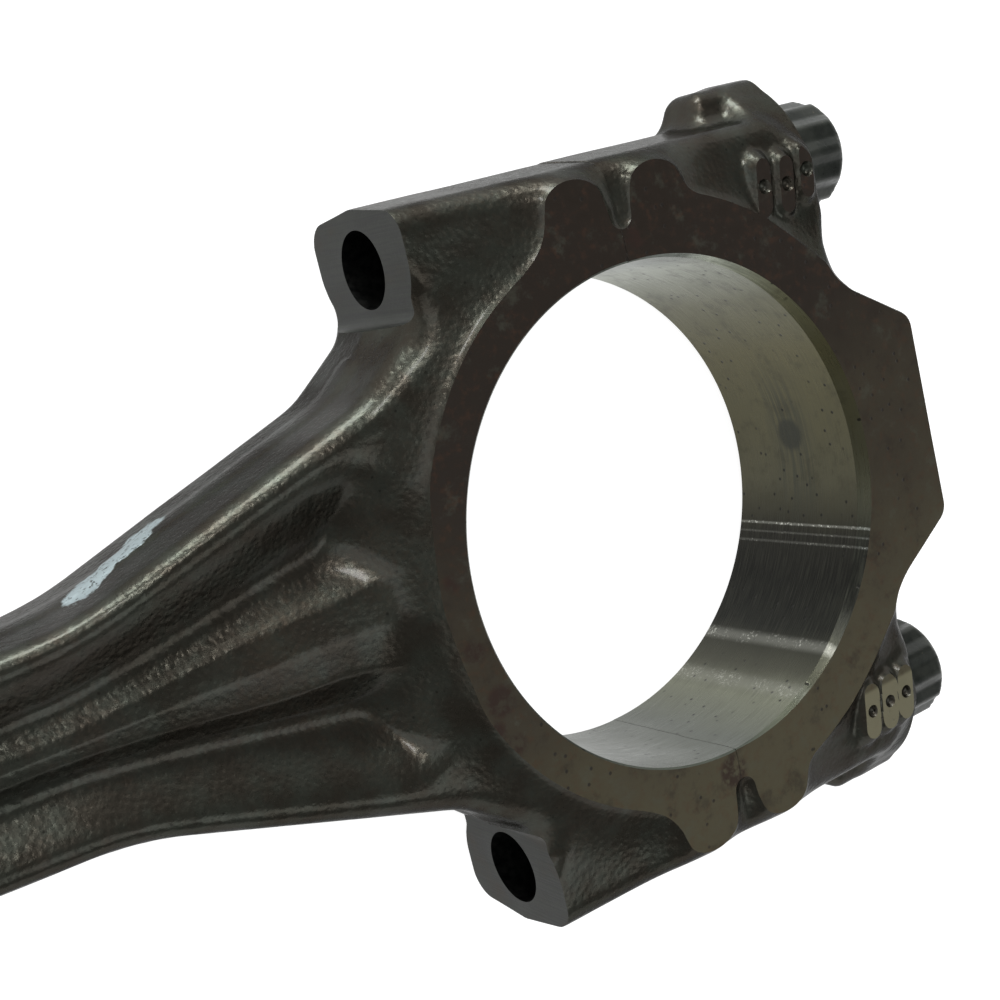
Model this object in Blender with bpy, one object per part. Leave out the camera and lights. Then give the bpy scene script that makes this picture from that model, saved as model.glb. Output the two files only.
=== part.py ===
"""Connecting rod of a heavy diesel engine: forged rod, fracture-split bearing cap, two cap bolts, pin bush.

The rod lies on its side. +X runs from the piston-pin end to the bearing cap, +Y crosses the two bolts,
+Z is the crank-bore axis. The origin is under the middle of the rod, on the surface that it lies on.
"""
import math

import bmesh
import bpy
from mathutils import Matrix, Vector

MM = 0.001

# Driving dimensions, mm
CRANK_BORE = 95.0          # bore for the crankpin shells
BIG_END_WIDTH = 38.6       # over the two thrust faces
CENTRE_DISTANCE = 256.0    # crank bore to pin bore
PIN_BORE = 52.0            # inside the bush
BUSH_OUTER = 56.0
BOLT_SPACING = 115.0
CAP_END = 69.6             # crank-bore centre to the flat end of the cap
BOLT_SEAT = 52.5           # crank-bore centre to the seat under the bolt heads
BOSS_END = 42.7            # crank-bore centre to the end face of the rod's bolt bosses
BOSS_SIDE = 68.5           # crank-bore centre to the outer side of the bolt bosses
SMALL_END_RADIUS = 38.5
GAP = 0.3                  # between pieces that touch

# Forging
SHANK_THICK = 32.0
CAP_THICK = 35.0
EDGE_ROUND = 3.2
SEAT_PILLAR_HALF = 15.8    # half the thickness of the pillar under each bolt head
SEAT_PILLAR_TOP = 75.7     # crank-bore centre to the ridge along the pillar's outer side
SEAT_PILLAR_START = 33.0
MACHINING_STOCK = 3.8      # forged stock that the flat cutters take off the boss ends

# Bolts
THREAD_RADIUS = 6.5
SHOULDER_RADIUS = 7.0
CAP_HOLE_RADIUS = 7.5
BOLT_LENGTH = 80.0
FLANGE_RADIUS = 12.5
FLANGE_THICK = 2.4
HEAD_RADIUS = 11.4
HEAD_LENGTH = 16.0
HEAD_POINTS = 12

OIL_GALLERY = 6.0
BUSH_SETBACK = 0.4         # bush ends lie just inside the small end's faces

HALF_WIDTH = BIG_END_WIDTH / 2
BOLT_Y = BOLT_SPACING / 2
BIG_END_X = (CENTRE_DISTANCE + SMALL_END_RADIUS - CAP_END) / 2
REACH = 60.0               # how far a cutter runs past what it cuts


# ---------------------------------------------------------------- outlines

def arc(cx, cy, radius, start, end, steps):
    """Points on an arc, angles in degrees, both ends included."""
    angles = [math.radians(start + (end - start) * i / steps) for i in range(steps + 1)]
    return [(cx + radius * math.cos(a), cy + radius * math.sin(a)) for a in angles]


def rounded(corners, steps=5):
    """An open outline of (x, y, radius) corners, each turned into an arc of its radius."""
    points = []
    for i, (x, y, radius) in enumerate(corners):
        corner = Vector((x, y))
        if radius == 0 or i in (0, len(corners) - 1):
            points.append((x, y))
            continue
        before = (Vector(corners[i - 1][:2]) - corner).normalized()
        after = (Vector(corners[i + 1][:2]) - corner).normalized()
        half = before.angle(after) / 2
        centre = corner + (before + after).normalized() * (radius / math.sin(half))
        first = corner + before * (radius / math.tan(half)) - centre
        last = corner + after * (radius / math.tan(half)) - centre
        turn = first.angle_signed(last)
        for k in range(steps + 1):
            spoke = Matrix.Rotation(-turn * k / steps, 2) @ first
            points.append(tuple(centre + spoke))
    return points


def mirrored(upper):
    """Close an outline whose upper half is given, by adding its reflection in the rod's centre line."""
    lower = [(x, -y) for x, y in reversed(upper) if abs(y) > 1e-6]
    return upper + lower


def rod_forging_outline():
    side = rounded([
        (12, BOSS_SIDE, 0),
        (-BOSS_END - MACHINING_STOCK, BOSS_SIDE, 4.5),
        (-BOSS_END - MACHINING_STOCK, 56, 4.5),
        (-BOSS_END, 51.5, 1),
        (-BOSS_END, 46.5, 7),
        (-57, 37, 20),
        (-113, 18, 60),
        (-216, 14.4, 30),
        (-CENTRE_DISTANCE + SMALL_END_RADIUS * math.cos(math.radians(45)),
         SMALL_END_RADIUS * math.sin(math.radians(45)), 0),
    ])
    end = arc(-CENTRE_DISTANCE, 0, SMALL_END_RADIUS, 50, 180, 22)
    return mirrored(side + end)


def cap_forging_outline():
    side = rounded([
        (-12, BOSS_SIDE, 0),
        (BOLT_SEAT + MACHINING_STOCK, BOSS_SIDE, 4.5),
        (BOLT_SEAT + MACHINING_STOCK, 46, 4.5),
        (BOLT_SEAT, 40, 1),
        (BOLT_SEAT, 31.5, 6),
        (CAP_END, 21.5, 4.5),
        (CAP_END, 0, 0),
    ])
    return mirrored(side[::-1])[::-1]


def thrust_outline():
    """The machined thrust face: ring, two lobes at each side of the split, and the cap's end pad."""
    rod_ring, cap_ring, lobe = 55.5, 59.5, 6.0
    lobe_y = 65.2 - lobe
    cap_lobe_x, rod_lobe_x = 10.0, -9.2
    notch = (cap_lobe_x - rod_lobe_x) / 2 - lobe
    notch_x = (cap_lobe_x + rod_lobe_x) / 2
    inset = 0.9
    upper = rounded([(CAP_END - inset, 0, 0), (CAP_END - inset, 20.9, 4), (BOLT_SEAT - 0.8, 30.4, 7),
                     (48.6, 34.0, 0)])
    upper += arc(0, 0, cap_ring, 36, math.degrees(math.acos((cap_lobe_x + lobe) / cap_ring)), 8)
    upper += arc(cap_lobe_x, lobe_y, lobe, 0, 180, 10)
    upper += arc(notch_x, 57.4, notch, 0, -180, 6)
    upper += arc(rod_lobe_x, lobe_y, lobe, 0, 180, 10)
    upper += arc(0, 0, rod_ring, math.degrees(math.acos((rod_lobe_x - lobe) / rod_ring)), 180, 16)
    return mirrored(upper)


# ---------------------------------------------------------------- mesh tools

def clear_scene():
    for thing in list(bpy.data.objects):
        bpy.data.objects.remove(thing, do_unlink=True)


def empty(name, x, y, z, parent=None):
    thing = bpy.data.objects.new(name, None)
    thing.empty_display_size = 0.02
    thing.location = (x * MM, y * MM, z * MM)
    thing.parent = parent
    bpy.context.collection.objects.link(thing)
    return thing


def add_object(name, mesh_maker, parent, location=(0, 0, 0), smooth=True):
    """Link a new object whose mesh is filled in millimetres by mesh_maker, then brought to metres."""
    bm = bmesh.new()
    mesh_maker(bm)
    bmesh.ops.remove_doubles(bm, verts=bm.verts, dist=1e-4)
    bmesh.ops.recalc_face_normals(bm, faces=bm.faces)
    bmesh.ops.scale(bm, verts=bm.verts, vec=(MM, MM, MM))
    mesh = bpy.data.meshes.new(name)
    bm.to_mesh(mesh)
    bm.free()
    if smooth:
        mesh.shade_smooth()
        mesh.set_sharp_from_angle(angle=math.radians(35))
    thing = bpy.data.objects.new(name, mesh)
    thing.location = [value * MM for value in location]
    thing.parent = parent
    bpy.context.collection.objects.link(thing)
    return thing


def as_cutter(thing):
    thing.hide_render = True
    thing.display_type = 'WIRE'
    return thing


def extruded(outline, low, high):
    """Mesh maker: an outline in X and Y, extruded from low to high along Z."""
    def make(bm):
        face = bm.faces.new([bm.verts.new((x, y, low)) for x, y in outline])
        result = bmesh.ops.extrude_face_region(bm, geom=[face])
        raised = [item for item in result["geom"] if isinstance(item, bmesh.types.BMVert)]
        bmesh.ops.translate(bm, verts=raised, vec=(0, 0, high - low))
    return make


def turned(profile, segments, axis='X'):
    """Mesh maker: a closed ring of (position along axis, radius) points, turned about that axis."""
    def make(bm):
        rings = []
        for i in range(segments):
            angle = 2 * math.pi * i / segments
            c, s = math.cos(angle), math.sin(angle)
            rings.append([bm.verts.new((a, r * c, r * s) if axis == 'X' else (r * c, r * s, a))
                          for a, r in profile])
        count = len(profile)
        for i in range(segments):
            here, there = rings[i], rings[(i + 1) % segments]
            for k in range(count):
                quad = [here[k], here[(k + 1) % count], there[(k + 1) % count], there[k]]
                if profile[k][1] == 0 and profile[(k + 1) % count][1] == 0:
                    continue
                bm.faces.new(quad)
    return make


def rod_of_stock(length_from, length_to, radius, segments, axis='X'):
    """Mesh maker: a plain round bar along an axis, used as a drill."""
    def make(bm):
        turn = Matrix.Rotation(math.radians(90), 4, 'Y') if axis == 'X' else Matrix.Identity(4)
        turn = turn @ Matrix.Rotation(math.pi / segments / 2, 4, 'Z')
        middle = (length_from + length_to) / 2
        shift = Matrix.Translation((middle, 0, 0) if axis == 'X' else (0, 0, middle))
        bmesh.ops.create_cone(bm, cap_ends=True, segments=segments, radius1=radius, radius2=radius,
                              depth=length_to - length_from, matrix=shift @ turn)
    return make


def block(low, high):
    """Mesh maker: a square-edged block between two corners."""
    def make(bm):
        size = Vector(high) - Vector(low)
        middle = (Vector(high) + Vector(low)) / 2
        place = Matrix.Translation(middle) @ Matrix.Diagonal((*size, 1))
        bmesh.ops.create_cube(bm, size=1, matrix=place)
    return make


def boolean(thing, other, operation):
    modifier = thing.modifiers.new(operation.lower() + "_" + other.name, 'BOOLEAN')
    modifier.operation = operation
    modifier.solver = 'EXACT'
    modifier.object = as_cutter(other)


def round_edges(thing, width, segments):
    modifier = thing.modifiers.new("forged_edges", 'BEVEL')
    modifier.width = width * MM
    modifier.segments = segments
    modifier.limit_method = 'ANGLE'
    modifier.angle_limit = math.radians(50)
    modifier.use_clamp_overlap = False


def material(name, colour, roughness, metallic):
    made = bpy.data.materials.new(name)
    made.use_nodes = True
    shader = made.node_tree.nodes["Principled BSDF"]
    shader.inputs["Base Color"].default_value = (*colour, 1)
    shader.inputs["Roughness"].default_value = roughness
    shader.inputs["Metallic"].default_value = metallic
    return made


# ---------------------------------------------------------------- shank pockets

def pocket(side, face):
    """Mesh maker: the cutter of one shank pocket, a long trough with round ends and sloping walls.

    side is +1 or -1 across the rod, face is +1 or -1 through its thickness.
    """
    wide_end, narrow_end = -64.0, -222.0
    depth = 8.5
    stations, around = 18, 8

    def make(bm):
        rings = []
        for i in range(stations + 1):
            # stations crowd towards both ends, where the trough rounds off
            along = (1 - math.cos(math.pi * i / stations)) / 2
            x = wide_end + (narrow_end - wide_end) * along
            spread = max(0.0, 1 - (wide_end - x) / 62.0)
            centre = 9.6 + 8.6 * spread ** 1.3
            half = 3.4 + 4.6 * spread
            run_out = min(1.0, (wide_end - x) / 9.0, (x - narrow_end) / 14.0)
            fade = math.sqrt(max(0.0, 1 - (1 - run_out) ** 2)) * 0.98 + 0.02
            ring = []
            for k in range(around + 1):
                turn = math.pi * k / around
                y = centre + half * fade * math.cos(turn)
                z = SHANK_THICK / 2 - depth * fade * math.sin(turn) ** 0.8
                ring.append(bm.verts.new((x, side * y, face * z)))
            lift = SHANK_THICK / 2 + 4
            low_side = centre - half * fade - 1.2
            high_side = centre + half * fade + 1.2
            ring.append(bm.verts.new((x, side * low_side, face * lift)))
            ring.append(bm.verts.new((x, side * high_side, face * lift)))
            rings.append(ring)
        for here, there in zip(rings, rings[1:]):
            for k in range(len(here)):
                n = (k + 1) % len(here)
                bm.faces.new([here[k], here[n], there[n], there[k]])
        bm.faces.new(rings[0])
        bm.faces.new(rings[-1][::-1])
    return make


def rib_relief(face):
    """Mesh maker: takes the rib between two pockets a little below the flanges."""
    wide_end, narrow_end = -84.0, -212.0
    wide_half, narrow_half = 8.0, 5.0
    outline = arc(wide_end, 0, wide_half, -90, 90, 10) + arc(narrow_end, 0, narrow_half, 90, 270, 8)
    low = SHANK_THICK / 2 - 2.6
    high = SHANK_THICK / 2 + 4
    return extruded(outline, min(face * low, face * high), max(face * low, face * high))


# ---------------------------------------------------------------- the pieces

def make_rod_body(rod):
    body = add_object("rod_body", extruded(rod_forging_outline(), -SHANK_THICK / 2, SHANK_THICK / 2), rod)
    round_edges(body, EDGE_ROUND, 3)
    for side in (1, -1):
        for face in (1, -1):
            boolean(body, add_object(f"pocket_{side}_{face}", pocket(side, face), rod), 'DIFFERENCE')
    for face in (1, -1):
        boolean(body, add_object(f"rib_relief_{face}", rib_relief(face), rod), 'DIFFERENCE')
    faces = add_object("rod_thrust_faces", extruded(thrust_outline(), -HALF_WIDTH, HALF_WIDTH), rod)
    boolean(body, faces, 'UNION')
    ends = add_object("small_end_boss", turned([
        (-HALF_WIDTH, 0), (-HALF_WIDTH, 36.2), (-HALF_WIDTH + 0.7, 36.2), (-HALF_WIDTH + 2.6, 38.0),
        (HALF_WIDTH - 2.6, 38.0), (HALF_WIDTH - 0.7, 36.2), (HALF_WIDTH, 36.2), (HALF_WIDTH, 0)],
        64, 'Z'), rod, (-CENTRE_DISTANCE, 0, 0))
    boolean(body, ends, 'UNION')
    boolean(body, add_object("rod_side_of_split", block((-GAP / 2, -REACH * 2, -REACH),
                                                        (REACH * 2, REACH * 2, REACH)), rod), 'DIFFERENCE')
    for side in (1, -1):
        near, far = sorted((side * 50.6, side * 90))
        flat = block((-BOSS_END - REACH / 4, near, -REACH), (-BOSS_END, far, REACH))
        boolean(body, add_object(f"boss_end_cutter_{side}", flat, rod), 'DIFFERENCE')
        drill = rod_of_stock(-REACH, REACH / 2, THREAD_RADIUS + GAP, 32)
        boolean(body, add_object(f"thread_drill_{side}", drill, rod, (0, side * BOLT_Y, 0)), 'DIFFERENCE')
    crank = rod_of_stock(-REACH, REACH, CRANK_BORE / 2, 96, 'Z')
    boolean(body, add_object("rod_crank_bore", crank, rod), 'DIFFERENCE')
    pin = rod_of_stock(-REACH, REACH, BUSH_OUTER / 2 + GAP, 64, 'Z')
    boolean(body, add_object("pin_bore", pin, rod, (-CENTRE_DISTANCE, 0, 0)), 'DIFFERENCE')
    gallery = rod_of_stock(-CENTRE_DISTANCE + PIN_BORE / 4, -CRANK_BORE / 4, OIL_GALLERY / 2, 16)
    boolean(body, add_object("gallery_drill", gallery, rod), 'DIFFERENCE')
    return body


def seat_pillar(side):
    """Mesh maker: the pillar under a bolt head. It is round on its inner side, narrows to a ridge on its
    outer side, and swells up to its full size along X. side is +1 or -1 across the rod.
    """
    around = 40
    inner, outer, power = SEAT_PILLAR_HALF, SEAT_PILLAR_TOP - BOLT_Y, 1.2
    swell = [(0, 0.50), (1.5, 0.76), (4, 0.90), (8, 0.98), (11, 1.0), (BOLT_SEAT + 2 - SEAT_PILLAR_START, 1.0)]

    def make(bm):
        rings = []
        for along, grow in swell:
            ring = []
            for k in range(around):
                turn = 2 * math.pi * k / around
                c, s = math.cos(turn), math.sin(turn)
                y = BOLT_Y + grow * math.copysign(abs(c) ** power, c) * (outer if c > 0 else inner)
                z = grow * math.copysign(abs(s) ** power, s) * SEAT_PILLAR_HALF
                ring.append(bm.verts.new((SEAT_PILLAR_START + along, side * y, z)))
            rings.append(ring)
        for here, there in zip(rings, rings[1:]):
            for k in range(around):
                n = (k + 1) % around
                bm.faces.new([here[k], there[k], there[n], here[n]])
        bm.faces.new(rings[0])
        bm.faces.new(rings[-1][::-1])
    return make


def make_bearing_cap(cap):
    body = add_object("bearing_cap", extruded(cap_forging_outline(), -CAP_THICK / 2, CAP_THICK / 2), cap)
    round_edges(body, EDGE_ROUND, 3)
    faces = add_object("cap_thrust_faces", extruded(thrust_outline(), -HALF_WIDTH, HALF_WIDTH), cap)
    boolean(body, faces, 'UNION')
    for side in (1, -1):
        boolean(body, add_object(f"seat_pillar_{side}", seat_pillar(side), cap), 'UNION')
    boolean(body, add_object("cap_side_of_split", block((-REACH * 2, -REACH * 2, -REACH),
                                                        (GAP / 2, REACH * 2, REACH)), cap), 'DIFFERENCE')
    for side in (1, -1):
        near, far = sorted((side * 39, side * 90))
        flat = block((BOLT_SEAT, near, -REACH), (BOLT_SEAT + REACH / 3, far, REACH))
        boolean(body, add_object(f"seat_cutter_{side}", flat, cap), 'DIFFERENCE')
        drill = rod_of_stock(-REACH / 2, REACH * 1.5, CAP_HOLE_RADIUS, 32)
        boolean(body, add_object(f"clearance_drill_{side}", drill, cap, (0, side * BOLT_Y, 0)), 'DIFFERENCE')
    crank = rod_of_stock(-REACH, REACH, CRANK_BORE / 2, 96, 'Z')
    boolean(body, add_object("cap_crank_bore", crank, cap), 'DIFFERENCE')
    return body


def bolt_mesh():
    """Mesh maker: a twelve-point flange bolt along X, seat at the origin, head towards +X."""
    segments = HEAD_POINTS * 4
    stem = [(-BOLT_LENGTH, THREAD_RADIUS - 1.2), (-BOLT_LENGTH + 1.6, THREAD_RADIUS), (-44, THREAD_RADIUS),
            (-42, SHOULDER_RADIUS - 1.2), (-14, SHOULDER_RADIUS - 1.2), (-12, SHOULDER_RADIUS),
            (GAP, SHOULDER_RADIUS)]
    flange = [(GAP, FLANGE_RADIUS - 0.6), (0.9, FLANGE_RADIUS), (FLANGE_THICK, FLANGE_RADIUS)]
    head = [(FLANGE_THICK + 0.6, HEAD_RADIUS), (HEAD_LENGTH - 1.6, HEAD_RADIUS),
            (HEAD_LENGTH, HEAD_RADIUS - 1.8), (HEAD_LENGTH, 4.0), (HEAD_LENGTH - 1.5, 2.5)]
    flute = 0.55

    def make(bm):
        rings = []
        for x, radius in stem + flange + head:
            fluted = FLANGE_THICK < x < HEAD_LENGTH
            ring = []
            for k in range(segments):
                turn = 2 * math.pi * k / segments
                r = radius + (flute * (math.cos(HEAD_POINTS * turn) - 1) if fluted and radius > 5 else 0)
                ring.append(bm.verts.new((x, r * math.cos(turn), r * math.sin(turn))))
            rings.append(ring)
        for here, there in zip(rings, rings[1:]):
            for k in range(segments):
                n = (k + 1) % segments
                bm.faces.new([here[k], there[k], there[n], here[n]])
        bm.faces.new(rings[0])
        bm.faces.new(rings[-1][::-1])
    return make


def make_pin_bush(rod):
    half = HALF_WIDTH - BUSH_SETBACK
    inner, outer, chamfer = PIN_BORE / 2, BUSH_OUTER / 2, 0.6
    profile = [(-half, inner + chamfer), (-half + chamfer, inner), (half - chamfer, inner),
               (half, inner + chamfer), (half, outer - chamfer), (half - chamfer, outer),
               (-half + chamfer, outer), (-half, outer - chamfer)]
    bush = add_object("pin_bush", turned(profile, 64, 'Z'), rod, (-CENTRE_DISTANCE, 0, 0))
    hole = rod_of_stock(PIN_BORE / 4, BUSH_OUTER / 2 + 4, OIL_GALLERY / 2, 16)
    boolean(bush, add_object("bush_oil_hole", hole, rod, (-CENTRE_DISTANCE, 0, 0)), 'DIFFERENCE')
    return bush


def main():
    clear_scene()
    rod = empty("big_end_centre", BIG_END_X, 0, HALF_WIDTH)
    cap = empty("cap_slide_axis", 0, 0, 0, rod)

    forged = material("forged_steel", (0.105, 0.098, 0.085), 0.42, 0.85)
    cap_forged = material("forged_cap_steel", (0.115, 0.105, 0.088), 0.42, 0.85)
    black = material("black_bolt_steel", (0.045, 0.052, 0.050), 0.35, 0.9)
    bronze = material("bush_bronze", (0.62, 0.40, 0.18), 0.3, 0.95)

    make_rod_body(rod).data.materials.append(forged)
    make_bearing_cap(cap).data.materials.append(cap_forged)
    for name, side in (("cap_bolt_left", 1), ("cap_bolt_right", -1)):
        axis = empty(name + "_axis", BOLT_SEAT, side * BOLT_Y, 0, cap)
        add_object(name, bolt_mesh(), axis).data.materials.append(black)
    make_pin_bush(rod).data.materials.append(bronze)


main()
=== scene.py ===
import math

import bpy
import numpy as np
from mathutils import Matrix, Vector


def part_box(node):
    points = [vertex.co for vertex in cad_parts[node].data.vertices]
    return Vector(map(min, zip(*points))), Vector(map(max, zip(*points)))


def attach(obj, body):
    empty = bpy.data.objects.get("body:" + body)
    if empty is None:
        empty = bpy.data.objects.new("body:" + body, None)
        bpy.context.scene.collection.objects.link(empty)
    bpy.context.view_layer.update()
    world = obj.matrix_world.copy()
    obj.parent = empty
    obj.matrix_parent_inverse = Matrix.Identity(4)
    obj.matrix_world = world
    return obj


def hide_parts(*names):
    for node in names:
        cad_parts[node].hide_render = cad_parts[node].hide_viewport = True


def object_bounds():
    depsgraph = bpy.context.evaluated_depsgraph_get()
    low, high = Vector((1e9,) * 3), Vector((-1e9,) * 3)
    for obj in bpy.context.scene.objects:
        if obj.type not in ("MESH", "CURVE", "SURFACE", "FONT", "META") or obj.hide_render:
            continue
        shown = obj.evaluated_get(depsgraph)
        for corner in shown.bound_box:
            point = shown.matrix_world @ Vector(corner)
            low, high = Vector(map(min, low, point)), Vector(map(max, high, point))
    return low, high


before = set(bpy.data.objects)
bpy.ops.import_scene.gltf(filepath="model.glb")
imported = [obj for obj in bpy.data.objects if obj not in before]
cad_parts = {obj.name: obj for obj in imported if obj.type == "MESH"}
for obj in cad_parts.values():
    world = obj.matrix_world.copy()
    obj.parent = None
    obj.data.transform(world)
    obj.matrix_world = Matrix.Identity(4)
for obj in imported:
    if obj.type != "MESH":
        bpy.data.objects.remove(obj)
cadLow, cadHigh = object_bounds()

# Lengths below are in millimetres from the middle of the crank bore: +X to the cap, +Y across the bolts,
# +Z along the bore. What the boxes of the CAD solids fix is read from them.
mm = 0.001
rodLow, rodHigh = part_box("rod_body")
capLow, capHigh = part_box("bearing_cap")
bushLow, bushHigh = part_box("pin_bush")
boltLow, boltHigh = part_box("cap_bolt_left")

boreCentre = Vector(((rodHigh.x + capLow.x) / 2, 0, (rodLow.z + rodHigh.z) / 2))
halfWidth = (rodHigh.z - rodLow.z) / 2 / mm
capEnd = (capHigh.x - boreCentre.x) / mm
pinX = ((bushLow.x + bushHigh.x) / 2 - boreCentre.x) / mm
bushOuter = (bushHigh.y - bushLow.y) / 2 / mm
bushHalf = (bushHigh.z - bushLow.z) / 2 / mm
boltY = (boltLow.y + boltHigh.y) / 2 / mm
boltEnd = (boltLow.x - boreCentre.x) / mm
headEnd = (boltHigh.x - boreCentre.x) / mm
flangeRadius = (boltHigh.y - boltLow.y) / 2 / mm
ridgeTop = capHigh.y / mm
crankRadius = 47.5
bossSide = 66.5                # at the front; draft adds to it at the middle
through = 30.0                 # cutters along the bore reach this far from the middle, past both faces
outside = 90.0                 # cutters reach this far across, past the whole big end
farEnd = -320.0                # and this far along, past the small end


# Shape tools

def smoothMax(a, b, blend):
    near = np.maximum(blend - np.abs(a - b), 0) / blend
    return np.maximum(a, b) + near * near * blend / 4


def smoothMin(a, b, blend):
    return -smoothMax(-a, -b, blend)


def roundMax(a, b, radius):
    # meeting of two walls, with the corner between them rounded to a radius
    outer = np.hypot(np.maximum(a + radius, 0), np.maximum(b + radius, 0))
    return np.minimum(np.maximum(a, b) + radius, 0) + outer - radius


def ramp(value, start, end):
    t = np.clip((value - start) / (end - start), 0, 1)
    return t * t * (3 - 2 * t)


def arc(centreX, centreY, radius, start, end, steps):
    turns = np.radians(np.linspace(start, end, steps + 1))
    return [(centreX + radius * math.cos(t), centreY + radius * math.sin(t)) for t in turns]


def rounded(corners, steps=8):
    # an open line of (x, y, radius) corners, each corner turned into an arc
    points = []
    for place, (x, y, radius) in enumerate(corners):
        if radius == 0 or place in (0, len(corners) - 1):
            points.append((x, y))
            continue
        corner = Vector((x, y))
        before = (Vector(corners[place - 1][:2]) - corner).normalized()
        after = (Vector(corners[place + 1][:2]) - corner).normalized()
        half = before.angle(after) / 2
        centre = corner + (before + after).normalized() * (radius / math.sin(half))
        first = corner + before * (radius / math.tan(half)) - centre
        last = corner + after * (radius / math.tan(half)) - centre
        turn = first.angle_signed(last)
        for k in range(steps + 1):
            points.append(tuple(centre + Matrix.Rotation(-turn * k / steps, 2) @ first))
    return points


def mirrored(upper):
    return upper + [(x, -y) for x, y in reversed(upper) if abs(y) > 1e-6]


def outlineDistance(outline, x, y):
    # distance in the plan view to a closed outline, negative inside it
    nearest = np.full(np.broadcast(x, y).shape, 1e12)
    inside = np.zeros(nearest.shape, bool)
    for (ax, ay), (bx, by) in zip(outline, outline[1:] + outline[:1]):
        edgeX, edgeY = bx - ax, by - ay
        along = ((x - ax) * edgeX + (y - ay) * edgeY) / max(edgeX * edgeX + edgeY * edgeY, 1e-12)
        along = np.clip(along, 0, 1)
        nearest = np.minimum(nearest, (x - ax - along * edgeX) ** 2 + (y - ay - along * edgeY) ** 2)
        if ay != by:
            inside ^= ((ay > y) != (by > y)) & (x < edgeX * (y - ay) / edgeY + ax)
    return np.where(inside, -1, 1) * np.sqrt(nearest)


def capsule(x, y, start, end, radius):
    # distance in the plan view to a round-ended bar, negative inside it
    edgeX, edgeY = end[0] - start[0], end[1] - start[1]
    along = ((x - start[0]) * edgeX + (y - start[1]) * edgeY) / (edgeX ** 2 + edgeY ** 2 + 1e-9)
    along = np.clip(along, 0, 1)
    return np.hypot(x - start[0] - along * edgeX, y - start[1] - along * edgeY) - radius


latticeSize = 64               # random values along each side of the block that lumps repeat
latticeShift = 1000.37         # puts every point on the block's positive side


def lumps(points, size, seed):
    # smooth random unevenness from -1 to 1, with features of about this size
    lattice = np.random.default_rng(seed).uniform(-1, 1, (latticeSize, latticeSize, latticeSize))
    cell = points / size + latticeShift
    base = np.floor(cell).astype(int)
    t = cell - base
    t = t * t * (3 - 2 * t)
    total = np.zeros(len(points))
    for corner in np.ndindex(2, 2, 2):
        weight = np.prod(np.where(corner, t, 1 - t), axis=1)
        spot = (base + corner) % latticeSize
        total += weight * lattice[spot[:, 0], spot[:, 1], spot[:, 2]]
    return total


def skinOf(field, axes):
    # closed mesh of quads round everything where the field is negative
    for axis in range(3):
        for side in (0, -1):
            edge = [slice(None)] * 3
            edge[axis] = side
            field[tuple(edge)] = 1.0
    cells = tuple(n - 1 for n in field.shape)
    total = np.zeros((int(np.prod(cells)), 3))
    hits = np.zeros(len(total))
    quads = []
    for axis in range(3):
        low = np.take(field, range(field.shape[axis] - 1), axis)
        high = np.take(field, range(1, field.shape[axis]), axis)
        crossing = (low < 0) != (high < 0)
        spot = np.argwhere(crossing)
        share = low[crossing] / (low[crossing] - high[crossing])
        point = np.stack([axes[k][spot[:, k]] for k in range(3)], axis=1)
        point[:, axis] += share * (axes[axis][1] - axes[axis][0])
        across, up = (axis + 1) % 3, (axis + 2) % 3
        around = []
        for stepAcross, stepUp in ((0, 0), (-1, 0), (-1, -1), (0, -1)):
            cell = spot.copy()
            cell[:, across] += stepAcross
            cell[:, up] += stepUp
            flat = np.ravel_multi_index(cell.T, cells)
            for k in range(3):
                total[:, k] += np.bincount(flat, point[:, k], len(total))
            hits += np.bincount(flat, minlength=len(total))
            around.append(flat)
        quad = np.stack(around, axis=1)
        outward = low[crossing] < 0
        quads.append(np.where(outward[:, None], quad, quad[:, ::-1]))
    used = np.flatnonzero(hits)
    number = np.zeros(len(total), int)
    number[used] = np.arange(len(used))
    return total[used] / hits[used, None], number[np.concatenate(quads)]


def meshPiece(name, points, faces, finish):
    mesh = bpy.data.meshes.new(name)
    points = np.asarray(points, float) * mm + np.array(boreCentre)
    mesh.from_pydata(points.tolist(), [], [list(map(int, face)) for face in faces])
    mesh.materials.append(finish)
    mesh.validate()
    mesh.update()
    piece = bpy.data.objects.new(name, mesh)
    bpy.context.scene.collection.objects.link(piece)
    return piece


surface = {
    "broad": 0.08,
    "broadSize": 14.0,
    "fine": 0.02,
    "fineSize": 3.4,
    "settle": 0.12,          # keeps the uneven skin inside the nominal size
}


def forge(name, field, axes, finish, seed):
    # the forging, with the slight unevenness that dies and scale leave
    points, faces = skinOf(field, axes)
    ends = points[faces]
    normal = np.cross(ends[:, 2] - ends[:, 0], ends[:, 3] - ends[:, 1])
    outward = np.zeros_like(points)
    for k in range(4):
        for axis in range(3):
            outward[:, axis] += np.bincount(faces[:, k], normal[:, axis], len(points))
    outward /= np.linalg.norm(outward, axis=1)[:, None] + 1e-12
    depth = (surface["broad"] * lumps(points, surface["broadSize"], seed)
             + surface["fine"] * lumps(points, surface["fineSize"], seed + 1)) - surface["settle"]
    return meshPiece(name, points + outward * depth[:, None], faces, finish)


def machine(piece, cutter, operation="DIFFERENCE"):
    # cuts piece with cutter, whose finish goes on the new faces
    cut = piece.modifiers.new("machining", "BOOLEAN")
    cut.operation = operation
    cut.solver = "MANIFOLD"
    cut.material_mode = "TRANSFER"
    cut.object = cutter
    graph = bpy.context.evaluated_depsgraph_get()
    shaped = bpy.data.meshes.new_from_object(piece.evaluated_get(graph))
    piece.modifiers.clear()
    piece.data = shaped
    bpy.data.objects.remove(cutter)


creaseAngle = math.radians(38)


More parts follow.
